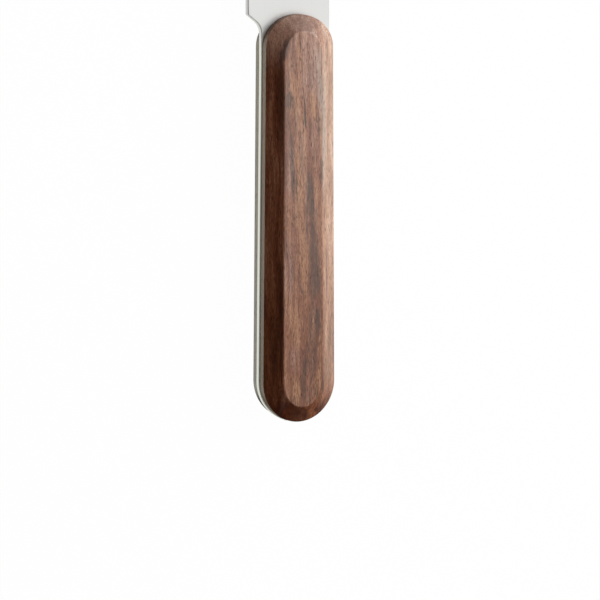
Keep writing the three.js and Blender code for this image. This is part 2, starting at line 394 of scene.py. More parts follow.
def spine_x(y):
    """The outline on the spine's side."""
    if y < BUTT_CENTRE_Y:
        return round_butt(y, SCALE_BUTT_HALF)
    if y < FRONT_CENTRE_Y:
        return blend(SCALE_BUTT_HALF, SPINE_X, (y - BUTT_CENTRE_Y) / (FRONT_CENTRE_Y - BUTT_CENTRE_Y))
    return sweep_to_point(y, SPINE_X, SPINE_STRAIGHT, SPINE_SWEEP, POINT_X + POINT_WIDTH / 2)


print(f"blade {POINT_Y - HEEL_Y:.1f} mm past the heel, {spine_x(PLUNGE_Y) - edge_x(PLUNGE_Y):.1f} mm wide")

# %% Where the rows lie
NOSE_STEPS = 5
TANG_BUTT_Y = SCALE_BUTT_Y - TANG_PROUD
NOSE_Y = POINT_Y - POINT_WIDTH / 2


def even(start, end, count):
    return [blend(start, end, i / count) for i in range(count)]


def around(start, end, count):
    """Rows that crowd towards the start, as a quarter turn's steps do."""
    return [blend(start, end, 1 - math.cos(math.pi / 2 * i / count)) for i in range(count)]


rows = around(TANG_BUTT_Y, BUTT_CENTRE_Y, count=20)
rows += even(BUTT_CENTRE_Y, FILLET_START_Y, count=12)
rows += even(FILLET_START_Y, FILLET_END_Y, count=10)
rows += even(FILLET_END_Y, CORNER_START_Y, count=3)
rows += even(CORNER_START_Y, CORNER_END_Y, count=5)
rows += even(CORNER_END_Y, PLUNGE_Y, count=4)
rows += even(PLUNGE_Y, GRIND_Y, count=10)
rows += even(GRIND_Y, GRIND_Y + SPINE_STRAIGHT, count=6)
rows += even(GRIND_Y + SPINE_STRAIGHT, NOSE_Y, count=40)
for i in range(NOSE_STEPS + 1):
    rows.append(NOSE_Y + POINT_WIDTH / 2 * math.sin(math.pi / 2 * i / NOSE_STEPS))
print(len(rows), "rows across the blade")

# %% Stretch a grid to the outline and make it a plate
COLUMNS = 12
BEVEL_WIDTH = 0.8
NOSE_FLAT = 0.15


def nose_share(y):
    """The share of its width that the blade keeps in its round nose, down to a short flat."""
    nose = max(0.0, (y - NOSE_Y) / (POINT_WIDTH / 2))
    return math.sqrt(max(NOSE_FLAT**2, 1 - nose**2))


select_nothing()
bpy.ops.mesh.primitive_grid_add(x_subdivisions=COLUMNS, y_subdivisions=len(rows) - 1, size=MM)
blade = bpy.context.object
across = COLUMNS + 1
sheet_corners = len(blade.data.vertices)
bpy.ops.object.mode_set(mode="EDIT")
pick(lambda at, index: index % across == 1)
move(x=BEVEL_WIDTH / (SPINE_X - BLADE_EDGE_X) - 1 / COLUMNS)
for row, row_y in enumerate(rows):
    pick(lambda at, index: index // across == row)
    stretch(x=(spine_x(row_y) - edge_x(row_y)) * nose_share(row_y))
    grid_y = row / (len(rows) - 1) - 0.5
    move(x=(spine_x(row_y) + edge_x(row_y)) / 2, y=row_y - grid_y)
bpy.ops.object.mode_set(mode="OBJECT")
plate = blade.modifiers.new("plate", "SOLIDIFY")
plate.thickness = TANG_THICKNESS * MM
plate.offset = 0
bpy.ops.object.modifier_apply(modifier="plate")
print("plate has", len(blade.data.vertices), "corners from", sheet_corners)

# %% Grind the faces
POINT_THICKNESS = 0.9
SHOULDER_THICKNESS = 0.44
EDGE_THICKNESS = 0.1


def between(value, start, end):
    """How far the value is on its way from start to end, from 0 to 1."""
    return min(1.0, max(0.0, (value - start) / (end - start)))


def ground_thickness(column, y):
    """Full before the plunge; then flat from the spine to the edge bevel's shoulder, thinner to the point."""
    spine = blend(TANG_THICKNESS, POINT_THICKNESS, between(y, GRIND_Y, POINT_Y))
    ground = EDGE_THICKNESS
    if column > 0:
        ground = blend(SHOULDER_THICKNESS, spine, (column - 1) / (COLUMNS - 1))
    plunge = between(y, PLUNGE_Y, GRIND_Y)
    return blend(TANG_THICKNESS, ground, plunge * plunge * (3 - 2 * plunge))


bpy.ops.object.mode_set(mode="EDIT")
ground_rows = [row for row, row_y in enumerate(rows) if row_y > PLUNGE_Y]
for row in ground_rows:
    for column in range(across):
        pick(lambda at, index: index % sheet_corners == row * across + column)
        stretch(z=ground_thickness(column, rows[row]) / TANG_THICKNESS)
bpy.ops.object.mode_set(mode="OBJECT")
print("ground", len(ground_rows), "rows")

# %% Round the corners
TANG_ROUND = 0.32
HEEL_ROUND = 0.4
SPINE_ROUND = 0.12
FLUSH_ROUND = 0.08
ROUND_STEPS = 4


def corner_round(column, y):
    """The radius of a corner along the outline."""
    if column > 0 and y < BUTT_CENTRE_Y:
        return blend(FLUSH_ROUND, TANG_ROUND, between(y, BUTT_CENTRE_Y, TANG_BUTT_Y))
    if column > 0:
        return SPINE_ROUND if y > FRONT_CENTRE_Y else FLUSH_ROUND
    if y < FILLET_END_Y:
        return blend(TANG_ROUND, HEEL_ROUND, between(y, FILLET_START_Y, FILLET_END_Y))
    return blend(HEEL_ROUND, 0.0, between(y, PLUNGE_Y, PLUNGE_Y + PLUNGE_LENGTH / 2))


weights = blade.data.attributes.new("bevel_weight_edge", "FLOAT", "EDGE")
for edge in blade.data.edges:
    first, second = edge.vertices
    columns = {first % across, second % across}
    same_side = (first < sheet_corners) == (second < sheet_corners)
    if same_side and len(columns) == 1 and columns <= {0, COLUMNS}:
        middle_y = (blade.data.vertices[first].co.y + blade.data.vertices[second].co.y) / 2 / MM
        weights.data[edge.index].value = corner_round(columns.pop(), middle_y) / HEEL_ROUND
bpy.ops.object.mode_set(mode="EDIT")
bpy.ops.mesh.select_all(action="SELECT")
bpy.ops.mesh.remove_doubles(threshold=MERGE_DISTANCE * MM)
bpy.ops.object.mode_set(mode="OBJECT")
rounding = blade.modifiers.new("rounding", "BEVEL")
rounding.limit_method = "WEIGHT"
rounding.width = HEEL_ROUND * MM
rounding.segments = ROUND_STEPS
rounding.use_clamp_overlap = False
bpy.ops.object.modifier_apply(modifier="rounding")
bpy.ops.object.mode_set(mode="EDIT")
blade = finish_piece("steel_blade", smooth_degrees=30)
blade.location.z = TANG_MIDDLE_Z * MM
bpy.ops.object.transform_apply(location=True, rotation=True, scale=True)
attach(blade, "root")
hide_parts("blade")

# %% Put the drill away
select_nothing()
drill_bits.select_set(True)
bpy.ops.object.delete()
print("drilled", len(DOWELS), "holes in each of the three pieces")

# %% [markdown]
# ## Shader maths in Python
# A finish is a small network of nodes. Writing it as Python expressions keeps it readable: a Value wraps
# one output, and plus, minus, times and so on between Values add Math nodes. Every other node comes from
# Finish.node. Plain colours are written as red, green and blue, without an alpha.

# %% Values and finishes
# The Mix node keeps its colour sockets behind those for numbers and vectors.
MIX_SHARE = 0
MIX_FIRST = 6
MIX_SECOND = 7
MIX_RESULT = 2


class Value:
    """An output socket that Python's operators work on."""

    def __init__(self, finish, socket):
        self.finish = finish
        self.socket = socket

    def math(self, operation, first, second):
        return self.finish.node("ShaderNodeMath", {"operation": operation}, {0: first, 1: second})

    def __add__(self, other):
        return self.math("ADD", self, other)

    def __radd__(self, other):
        return self.math("ADD", other, self)

    def __sub__(self, other):
        return self.math("SUBTRACT", self, other)

    def __rsub__(self, other):
        return self.math("SUBTRACT", other, self)

    def __mul__(self, other):
        return self.math("MULTIPLY", self, other)

    def __rmul__(self, other):
        return self.math("MULTIPLY", other, self)

    def __neg__(self):
        return self.math("SUBTRACT", 0.0, self)

    def __abs__(self):
        return self.finish.node("ShaderNodeMath", {"operation": "ABSOLUTE"}, {0: self})


class Finish:
    """A material, or the world, whose nodes are made one by one."""

    def __init__(self, name, owner=None):
        self.owner = owner or bpy.data.materials.new(name)
        self.owner.use_nodes = True
        self.tree = self.owner.node_tree
        self.tree.nodes.clear()

    def node(self, kind, settings=None, inputs=None, output=0):
        """Makes a node, links its inputs or gives them their constants, and returns the output asked for."""
        made = self.tree.nodes.new(kind)
        for key, setting in (settings or {}).items():
            if key == "stops":
                self.set_stops(made.color_ramp, setting)
            else:
                setattr(made, key, setting)
        for key, given in (inputs or {}).items():
            if isinstance(given, Value):
                self.tree.links.new(given.socket, made.inputs[key])
            else:
                made.inputs[key].default_value = given
        return Value(self, made.outputs[output]) if len(made.outputs) else made

    def set_stops(self, ramp, stops):
        while len(ramp.elements) < len(stops):
            ramp.elements.new(1.0)
        for element, (place, colour) in zip(ramp.elements, stops):
            element.position = place
            element.color = (*colour, 1)

    def coordinates(self, kind):
        return self.node("ShaderNodeTexCoord", output=kind)

    def part(self, vector, axis):
        return self.node("ShaderNodeSeparateXYZ", inputs={0: vector}, output=axis)

    def vectors(self, operation, first, second, output=0):
        return self.node("ShaderNodeVectorMath", {"operation": operation}, {0: first, 1: second}, output)

    def grain(self, place, size, detail=2.0, roughness=0.5, output=0):
        """Noise whose blots have the given size along X, Y and Z, in millimetres."""
        scale = [1 / (MM * length) for length in size]
        spot = self.node("ShaderNodeMapping", {}, {"Vector": place, "Scale": scale})
        noise = {"Vector": spot, "Scale": 1.0, "Detail": detail, "Roughness": roughness}
        return self.node("ShaderNodeTexNoise", {}, noise, output)

    def step(self, value, low, high):
        """0 below low, 1 above high, smooth between."""
        limits = {"Value": value, "From Min": low, "From Max": high}
        return self.node("ShaderNodeMapRange", {"interpolation_type": "SMOOTHSTEP"}, limits)

    def larger(self, first, second):
        return self.node("ShaderNodeMath", {"operation": "MAXIMUM"}, {0: first, 1: second})

    def mix(self, share, first, second, blend_type="MIX"):
        """The colours first and second in the given share."""
        inputs = {MIX_SHARE: share}
        for socket, colour in ((MIX_FIRST, first), (MIX_SECOND, second)):
            inputs[socket] = colour if isinstance(colour, Value) else (*colour, 1)
        settings = {"data_type": "RGBA", "blend_type": blend_type}
        return self.node("ShaderNodeMix", settings, inputs, MIX_RESULT)

    def tint(self, share, colour, by):
        """The colour multiplied by a tint, in the given share."""
        return self.mix(share, colour, by, "MULTIPLY")

    def rays(self):
        """Whether a ray was sent by the camera, straight or through a piece, and whether it was mirrored."""
        direct = self.node("ShaderNodeLightPath", output="Is Camera Ray")
        through = self.node("ShaderNodeLightPath", output="Is Transmission Ray")
        mirrored = self.node("ShaderNodeLightPath", output="Is Glossy Ray")
        return self.larger(direct, through), mirrored

    def surface(self, shader):
        is_world = isinstance(self.owner, bpy.types.World)
        kind = "ShaderNodeOutputWorld" if is_world else "ShaderNodeOutputMaterial"
        self.node(kind, {}, {"Surface": shader})
        print(self.owner.name, "has", len(self.tree.nodes), "nodes")
        return self.owner

    def principled(self, sockets):
        return self.surface(self.node("ShaderNodeBsdfPrincipled", {}, sockets))


def dress(piece, material):
    piece.data.materials.clear()
    piece.data.materials.append(material)


# %% [markdown]
# ## Oiled hardwood
# The wood is red-brown with long darker streaks, pale pinkish flecks between them and short open pores.
# All of it is solid noise drawn out along the knife, so the grain runs on over the chamfers and walls as
# it does in real wood. A slow wander keeps the lines from being ruler-straight. The layers add up to one
# tone, a little paler towards the blade, and the tone picks a colour from a ramp.

# %% Grow the grain
WOOD_DARK = (0.075, 0.024, 0.010)
WOOD_RED = (0.190, 0.066, 0.030)
WOOD_MID = (0.300, 0.128, 0.068)
WOOD_PALE = (0.500, 0.285, 0.185)
WANDER = 4
WANDER_SIZE = (18, 40, 18)
STREAK_SIZE = (1.4, 20, 1.4)
BAND_SIZE = (4.5, 50, 4.5)
FIBRE_SIZE = (0.26, 4.0, 0.26)
FLECK_SIZE = (0.20, 1.1, 0.20)
PALER_PER_MM = 0.0006

wood = Finish("oiled_wood")
place = wood.coordinates("Object")
x = wood.part(place, "X") * (1 / MM)
y = wood.part(place, "Y") * (1 / MM)
z = wood.part(place, "Z") * (1 / MM)
drift = wood.grain(place, WANDER_SIZE, output="Color")
centred = wood.vectors("SUBTRACT", drift, (0.5, 0.5, 0.5))
wander = wood.vectors("MULTIPLY", centred, (WANDER * MM, 0, WANDER * MM))
grown = wood.vectors("ADD", place, wander)

streaks = wood.grain(grown, STREAK_SIZE)
bands = wood.grain(grown, BAND_SIZE)
fibres = wood.grain(grown, FIBRE_SIZE, roughness=0.6)
flecks = wood.grain(grown, FLECK_SIZE, roughness=0.6)
tone = streaks * 0.36 + bands * 0.22 + fibres * 0.2 + flecks * 0.22 + y * PALER_PER_MM
stops = [(0.38, WOOD_DARK), (0.455, WOOD_RED), (0.52, WOOD_MID), (0.62, WOOD_PALE)]
colour = wood.node("ShaderNodeValToRGB", {"stops": stops}, {"Fac": tone})
print("grain has", len(wood.tree.nodes), "nodes")

# %% [markdown]
# ### The face of this piece
# No two boards look alike, so what gives this one its face is laid one by one as pointed spindles: smoky and
# tan streaks, mauve patches, a painted highlight near the facet's edge, a few red streaks and fine dark
# checks. Each mark says
# where it starts and where it ends, x and y in millimetres, then half of its width and its strength. A
# fine noise makes its sides ragged, and fibres and flecks break it up. The marks lie in the facet and
# fade out just below it.

# %% Marks on the facet
SMOKY_STREAKS = [
    ((-3.9, 34.0), (-3.8, 27.6), 1.5, 1.00),
    ((-3.8, 27.0), (-2.4, 2.0), 0.9, 0.95),
    ((1.2, 16.0), (2.6, -2.0), 1.00, 1.00),
    ((2.4, 5.0), (4.0, -31.0), 2.0, 0.90),
    ((3.4, -9.0), (3.4, -21.5), 1.5, 1.00),
    ((4.1, -19.5), (3.9, -31.5), 1.0, 1.00),
    ((2.6, -24.0), (2.6, -42.0), 2.2, 0.55),
    ((0.8, -34.0), (-0.2, -41.5), 0.7, 0.90),
    ((-0.3, -38.5), (0.5, -48.0), 0.8, 0.80),
    ((4.3, 28.0), (4.3, 20.0), 0.7, 0.50),
    ((4.7, 17.0), (4.8, 8.0), 0.6, 0.80),
    ((2.2, 42.0), (2.2, 31.5), 1.3, 0.30),
    ((-1.6, -14.5), (0.4, -19.5), 0.45, 0.65),
    ((-3.4, 46.0), (-3.5, 37.0), 0.4, 0.45),
    ((3.0, -43.0), (4.8, -46.8), 0.7, 0.55),
    ((-4.6, 42.0), (-4.5, 20.5), 0.9, 0.60),
    ((-2.1, 32.5), (-2.1, 19.0), 0.7, 0.35),
    ((-1.0, 25.0), (0.1, 8.5), 1.0, 0.45),
    ((1.0, 12.0), (1.1, -9.0), 0.7, 0.75),
    ((3.1, 6.0), (3.1, -9.0), 0.7, 0.50),
    ((4.2, -4.5), (4.2, -21.5), 0.6, 0.45),
    ((-3.1, -8.0), (-3.0, -21.5), 0.9, 0.30),
    ((2.1, -19.0), (2.1, -33.0), 0.7, 0.65),
    ((1.4, -41.5), (1.5, -48.0), 0.7, 0.40),
]
TAN_STREAKS = [
    ((-1.2, 47.2), (-1.1, 34.0), 0.6, 0.60),
    ((-2.9, 38.5), (-1.8, 25.0), 1.6, 0.85),
    ((2.3, 34.0), (2.4, 24.4), 1.2, 1.00),
    ((-1.5, 24.0), (-0.4, -3.0), 1.0, 1.00),
    ((-0.6, 3.0), (0.9, -22.5), 1.4, 0.80),
    ((-2.8, -18.5), (-1.6, -34.0), 1.7, 0.70),
    ((-2.2, -38.5), (-1.6, -49.0), 1.3, 1.00),
    ((3.4, 12.0), (3.6, 4.0), 0.5, 0.70),
    ((4.4, -36.0), (4.6, -45.0), 0.6, 0.70),
    ((-2.0, 8.5), (-1.4, -3.5), 1.4, 0.65),
    ((-4.2, 7.0), (-4.2, -11.0), 0.6, 0.45),
    ((4.8, -24.5), (4.8, -32.0), 0.7, 0.60),
    ((3.6, -37.5), (3.6, -47.5), 0.8, 0.55),
]
MAUVE_PATCHES = [
    ((1.8, 54.0), (2.0, 26.0), 3.6, 0.85),
    ((-4.3, 26.0), (-4.3, 2.0), 1.2, 0.70),
    ((-4.0, -2.0), (-3.6, -21.0), 1.8, 0.90),
    ((-2.6, -30.0), (-2.0, -41.0), 2.6, 0.85),
    ((2.4, -33.0), (2.2, -49.0), 1.8, 0.60),
    ((0.5, -33.0), (0.6, -42.5), 0.8, 0.50),
    ((-2.6, 49.0), (-2.4, 36.0), 1.1, 0.60),
    ((2.6, 31.0), (3.4, 12.0), 1.6, 0.75),
]
# A painted highlight on the facet near its edge on the spine's side, where the rounded edge catches the lamp.
FACET_HIGHLIGHTS = [
    ((4.2, 47.0), (4.7, 24.0), 0.8, 0.55),
]
RED_STREAKS = [
    ((3.8, -18.0), (3.9, -23.4), 0.9, 0.95),
    ((-4.2, -26.0), (-4.0, -33.0), 0.8, 0.50),
    ((0.6, 25.0), (2.2, 8.0), 0.7, 0.50),
]
CHECKS = [
    ((-1.35, 48.6), (-0.75, 42.0), 0.14, 0.90),
    ((-1.20, 42.4), (-1.35, 38.0), 0.12, 0.60),
    ((-0.15, 34.6), (0.60, 23.6), 0.16, 0.95),
    ((0.20, 30.5), (0.65, 23.0), 0.24, 0.95),
    ((-0.75, 42.0), (-0.05, 33.0), 0.10, 0.45),
    ((2.00, 12.5), (3.00, -1.0), 0.12, 0.60),
    ((2.40, 44.8), (2.60, 38.0), 0.10, 0.55),
    ((4.75, 45.2), (4.85, 40.0), 0.10, 0.60),
    ((3.30, 41.0), (3.50, 33.0), 0.08, 0.45),
    ((3.85, 30.0), (4.10, 21.5), 0.10, 0.45),
    ((-1.35, -19.5), (-1.10, -26.5), 0.12, 0.60),
    ((-0.65, -23.5), (-0.60, -30.5), 0.12, 0.50),
]
print(len(SMOKY_STREAKS), "smoky and", len(TAN_STREAKS), "tan streaks,", len(CHECKS), "checks")

# %% Lay the marks
SMOKE = (0.060, 0.028, 0.017)
TAN = (0.480, 0.245, 0.130)
ROSE = (0.270, 0.095, 0.050)
HIGHLIGHT_PALE = (0.52, 0.42, 0.35)
MAUVE_TINT = (1.03, 1.17, 1.45)
RAGGED_SIZE = (0.9, 6, 0.9)
RAGGED_STREAK = 1.6
RAGGED_LINE = 0.4
STREAK_SOFTNESS = 0.9
CHECK_SOFTNESS = 0.5
MARK_DEPTH = 1.2
FULL_DEPTH = 0.3
FACET_HEIGHT = scale_high.z / MM - TANG_MIDDLE_Z


def laid_marks(marks, from_x, softness=STREAK_SOFTNESS):
    """How strongly the strongest of some spindles shows: pointed at both ends, full along its middle."""
    strongest = None
    for (start_x, start_y), (end_x, end_y), half_width, strength in marks:
        ends = {"Value": y, "From Min": start_y, "From Max": end_y}
        along = wood.node("ShaderNodeMapRange", {}, ends)
        aside = (from_x - (start_x + along * (end_x - start_x))) * (1 / half_width)
        mark = wood.step(4 * along * (1 - along) - aside * aside, 0.0, softness) * strength
        strongest = mark if strongest is None else wood.larger(strongest, mark)
    return strongest


ragged = wood.grain(place, RAGGED_SIZE, 3.0, 0.6) - 0.5
streak_x = x + ragged * RAGGED_STREAK
line_x = x + ragged * RAGGED_LINE
height = abs(z - TANG_MIDDLE_Z)
near_facet = wood.step(height, FACET_HEIGHT - MARK_DEPTH, FACET_HEIGHT - FULL_DEPTH)
smoky = laid_marks(SMOKY_STREAKS, streak_x) * near_facet
tan = laid_marks(TAN_STREAKS, streak_x) * near_facet
mauve = laid_marks(MAUVE_PATCHES, streak_x) * near_facet
red = laid_marks(RED_STREAKS, streak_x) * near_facet
facet_highlight = laid_marks(FACET_HIGHLIGHTS, streak_x) * near_facet
checks = laid_marks(CHECKS, line_x, CHECK_SOFTNESS) * near_facet

broken = wood.step(fibres * 0.5 + flecks * 0.5, 0.35, 0.62)
colour = wood.tint(mauve, colour, MAUVE_TINT)
colour = wood.mix(tan * (0.15 + 0.8 * broken), colour, TAN)
colour = wood.mix(smoky * (1 - 0.36 * broken), colour, SMOKE)
colour = wood.mix(red * (0.4 + 0.4 * broken), colour, ROSE)
# Painted highlight near the facet's edge.
colour = wood.mix(facet_highlight, colour, HIGHLIGHT_PALE)
print("marked grain has", len(wood.tree.nodes), "nodes")

# %% [markdown]
# ### The two sides: heart and sap, painted shade and light
# The board was sawn across the border of its dark heart, so the handle is dark on the edge's side, deepest
# low down towards the butt, and pale on the spine's side. These tints are partly the wood's own and partly
# painted: shade on the edge's side, which is turned from the lamp, and light on the spine's side, which
# faces it. A pale grey painted highlight runs along the facet's edge on the spine's side. Painted shade
# darkens the slopes beside the facet's edge on the edge's side and at the front arc, and a few dark
# streaks lie on the other slope. These are spindles again, on the chamfers.

# %% Shade the two sides
HEART_AND_SHADE_TINT = (0.73, 0.55, 0.45)
DEEP_HEART_AND_SHADE_TINT = (0.80, 0.74, 0.62)
SAPWOOD_AND_LIGHT = (0.40, 0.31, 0.23)
SAP_AND_LIGHT_TINT = (1.12, 1.20, 1.22)
HIGHLIGHT_GREY = (0.29, 0.28, 0.25)
RAGGED_SLOPE = 0.8
SLOPE_START = 3.3
SLOPE_FULL = 3.8
# A painted highlight: a pale grey stripe along the facet's edge on the spine's side, where the rounded edge
# catches the lamp.
EDGE_HIGHLIGHTS = [
    ((5.70, 47.0), (5.70, 0.0), 0.75, 0.90),
]
# Painted shade on the slopes of the edge's side, along the facet's edge and at the front arc; the four
# entries at positive x are dark streaks on the other slope.
SHADED_SLOPES_AND_STREAKS = [
    ((-5.9, 50.0), (-6.0, 12.0), 1.1, 0.50),
    ((-6.4, 39.0), (-3.4, 48.0), 1.3, 0.75),
    ((-5.8, -2.0), (-5.8, -46.0), 0.9, 0.50),
    ((-7.3, -21.0), (-7.3, -43.0), 1.7, 0.30),
    ((7.3, 31.0), (7.2, 11.0), 0.35, 0.30),
    ((8.0, 19.0), (8.0, 4.0), 0.30, 0.30),
    ((6.8, -2.0), (6.8, -21.0), 0.35, 0.35),
    ((6.6, -33.0), (6.7, -44.0), 0.6, 0.30),
]

# Partly painted shade: the edge's side, turned from the lamp, is darkened on top of the wood's own tone, most
# low down towards the butt.
heartwood_and_shade = wood.step(-x, 4.6, 6.0) * (1 - wood.step(y, 36, 46))
deep = wood.step(-x, 1.0, 6.0) * wood.step(-y, 0, 24) * (1 - near_facet)
# Partly painted light: the spine's side, which faces the lamp, is paled on top of the wood's own tone, more
# towards the front.
sapwood_and_light = wood.step(x, 5.2, 6.2) * wood.step(y, -46, -38)
on_slope = wood.step(height, SLOPE_START, SLOPE_FULL)
edge_highlight = laid_marks(EDGE_HIGHLIGHTS, line_x) * on_slope
darkened = laid_marks(SHADED_SLOPES_AND_STREAKS, x + ragged * RAGGED_SLOPE) * on_slope
colour = wood.tint(heartwood_and_shade, colour, HEART_AND_SHADE_TINT)
colour = wood.tint(deep, colour, DEEP_HEART_AND_SHADE_TINT)
colour = wood.mix(sapwood_and_light * 0.15, colour, SAPWOOD_AND_LIGHT)
colour = wood.tint(sapwood_and_light * (0.6 + 0.4 * wood.step(y, 8, 26)), colour, SAP_AND_LIGHT_TINT)
# Painted highlight along the facet's edge.
colour = wood.mix(edge_highlight * 0.6, colour, HIGHLIGHT_GREY)
# Painted shade on the slopes, with a few dark streaks.
colour = wood.tint(darkened, colour, WOOD_DARK)
print("shaded wood has", len(wood.tree.nodes), "nodes")

# %% [markdown]
# ### Pores, ends and walls
# Sanding cuts pores open all over the wood, as short dark dashes. End grain drinks more oil, so it is
# darker: red at the butt, most on the edge's side, and greyer at the front. The steep walls are darker too;
# on the edge's side they are tinted brown above the tang and olive below it, a painted tint for the
# grey-green they mirror from the table. A dark band of painted shadow runs along the foot of each wall, by
# the tang.

# %% Darken the pores, the ends and the walls
PORE = (0.025, 0.010, 0.006)
PORE_SIZE = (0.16, 1.7, 0.16)
BUTT_TINT = (0.86, 0.64, 0.46)
RED_HEART_TINT = (0.74, 0.42, 0.14)
FRONT_TINT = (0.98, 1.07, 1.14)
WALL_BROWN = (0.21, 0.105, 0.010)
WALL_OLIVE = (0.045, 0.050, 0.010)
GLUE_HEIGHT = scale_low.z / MM - TANG_MIDDLE_Z

pores = wood.step(wood.grain(grown, PORE_SIZE, detail=1.0), 0.58, 0.69)
colour = wood.mix(wood.larger(pores * 0.7, checks), colour, PORE)

facing = wood.coordinates("Normal")
facing_end = wood.part(facing, "Y")
end_grain = wood.step(abs(facing_end), 0.15, 0.60)
butt_end = wood.step(-facing_end, 0.15, 0.50)
red_corner = butt_end * wood.step(-x, 1, 5)
front_end = wood.step(facing_end, 0.12, 0.45)
colour = wood.mix(end_grain * (0.40 - 0.25 * wood.step(x, 0, 5)), colour, WOOD_DARK)
colour = wood.tint(butt_end, colour, BUTT_TINT)
colour = wood.tint(red_corner, colour, RED_HEART_TINT)
colour = wood.tint(front_end, colour, FRONT_TINT)

# Darker steep walls; on the edge's side the brown and olive are a painted tint for what the oiled walls
# mirror from the table.
steep = 1 - wood.step(abs(wood.part(facing, "Z")), 0.2, 0.5)
front_wall = wood.step(facing_end, 0.3, 0.7)
upper = wood.step(z, TANG_MIDDLE_Z - 0.5, TANG_MIDDLE_Z + 0.5)
edge_wall = wood.mix(upper, WALL_OLIVE, WALL_BROWN)
wall_colour = wood.mix(wood.step(-x, 0, 5), WOOD_DARK, edge_wall)
colour = wood.mix(steep * (0.5 - 0.5 * front_wall), colour, wall_colour)
# Painted shadow: a dark band along the foot of each wall, where it meets the tang.
foot_shadow = 1 - wood.step(height, GLUE_HEIGHT + 0.15, GLUE_HEIGHT + 0.6)
colour = wood.mix(foot_shadow * 0.8, colour, PORE)
print("darkened wood has", len(wood.tree.nodes), "nodes")

# %% [markdown]
# ### The oil
# Oil worked into the wood lies on it as a thin, soft coat. The pores and the painted shadow at the foot
# of each wall hold less of it, the end grain and the slopes on the edge's side have drunk it up, and hands
# have worn it towards the butt, on the facet and on the upper walls. Fibres, flecks, pores and checks can
# just be felt, so they also give a faint relief.

# %% Rub in the oil
RELIEF_DEPTH = 0.05

rough = 0.40 + fibres * 0.06 + flecks * 0.06 + pores * 0.2
felt = fibres * 0.3 + flecks * 0.4 - wood.larger(pores, checks) * 0.8
relief = wood.node("ShaderNodeBump", {}, {"Strength": 0.4, "Distance": RELIEF_DEPTH * MM, "Height": felt})
dry = wood.larger(wood.larger(heartwood_and_shade * (1 - steep), butt_end), end_grain * steep)
worn = wood.step(-y, -20, 45) * (1 - steep) * 0.38 + steep * upper * 0.40 + near_facet * 0.19
soaked_up = dry * (0.9 + 0.1 * red_corner)
oil = (1 - pores * 0.4) * (1 - soaked_up) * (1 - worn) * (1 - 0.7 * foot_shadow)
sockets = {"Base Color": colour, "Roughness": rough, "Normal": relief, "Specular IOR Level": 0.1}
sockets |= {"Coat Weight": oil, "Coat Roughness": 0.35, "Coat IOR": 1.9}
wood_material = wood.principled(sockets)
dress(front_scale, wood_material)
dress(back_scale, wood_material)

# %% [markdown]
# ## Satin steel
# The blank is stainless steel. Its faces have a fine lengthwise satin, hair-thin lines that scatter the
# light a little unevenly. The rounded corners are polished, so they are smoother than the faces.

# %% Make the steel
STEEL_DULL = (0.62, 0.62, 0.605)
STEEL_BRIGHT = (0.85, 0.85, 0.835)
SATIN_SIZE = (0.09, 26, 0.09)
SATIN_DEPTH = 0.01
CLOUD_SIZE = (14, 20, 14)


def satin_steel():
    steel = Finish("satin_steel")
    place = steel.coordinates("Object")
    lines = steel.grain(place, SATIN_SIZE, 3.0, 0.6)
    clouds = steel.grain(place, CLOUD_SIZE)
    colour = steel.mix(lines * 0.6 + clouds * 0.4, STEEL_DULL, STEEL_BRIGHT)
    on_face = steel.step(abs(steel.part(steel.coordinates("Normal"), "Z")), 0.9, 0.99)
    rough = 0.24 + on_face * 0.14 + lines * 0.1 + clouds * 0.06
    relief = {"Strength": 0.06, "Distance": SATIN_DEPTH * MM, "Height": lines}
    bump = steel.node("ShaderNodeBump", {}, relief)
    return steel.principled({"Base Color": colour, "Roughness": rough, "Normal": bump, "Metallic": 1.0})


dress(blade, satin_steel())

# %% [markdown]
# ## Glue line and hidden dowels
# The adhesive shows only as a dark line beside the tang, and the three dowels not at all, but each still
# gets the finish it would have on the bench: cloudy dark resin, and steel with the fine rings of a lathe.

# %% Make the adhesive and the dowels' steel
GLUE_DARK = (0.020, 0.014, 0.010)
GLUE_PALE = (0.050, 0.036, 0.026)
GLUE_CLOUD_SIZE = (1.2, 2.0, 1.2)
DOWEL_DARK = (0.42, 0.42, 0.41)
DOWEL_PALE = (0.58, 0.58, 0.57)
RING_SIZE = (4, 4, 0.06)


def cured_adhesive():
    glue = Finish("cured_adhesive")
    clouds = glue.grain(glue.coordinates("Object"), GLUE_CLOUD_SIZE, 3.0, 0.6)
    colour = glue.mix(clouds, GLUE_DARK, GLUE_PALE)
    return glue.principled({"Base Color": colour, "Roughness": 0.5 + clouds * 0.2})


def turned_dowel():
    dowel = Finish("ground_dowel_steel")
    rings = dowel.grain(dowel.coordinates("Object"), RING_SIZE, roughness=0.6)
    colour = dowel.mix(rings, DOWEL_DARK, DOWEL_PALE)
    return dowel.principled({"Base Color": colour, "Roughness": 0.28 + rings * 0.15, "Metallic": 1.0})


glue_material = cured_adhesive()
dowel_material = turned_dowel()
for node in ("front_bond", "back_bond"):
    dress(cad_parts[node], glue_material)
for node in DOWELS:
    dress(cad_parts[node], dowel_material)

# %% [markdown]
# ## The table
# The knife lies on a white table. To the camera the table is close to white by itself. In the steel's and
# the oil's reflections it glows near the knife, slightly greenish, and less beside the heel, where the
# blade shades it. For the rest it is a diffuse surface that also glows faintly, a painted bounce light on
# the knife from below, so a soft shadow stays.

# %% Lay the table
FLOOR_SIZE = 6.0
FLOOR_GAP = 0.05
FLOOR_GLOW_SEEN = 0.985
FLOOR_GLOW_BOUNCED = 0.15
POOL_START = 150
POOL_END = 450
HEEL_SHADE = 0.25
HEEL_SHADE_Y = FILLET_START_Y - HEEL_FILLET
WHITE = (1, 1, 1)
TABLE_WHITE = (0.9, 0.9, 0.89)
TABLE_MIRRORED = (0.985, 0.995, 0.88)

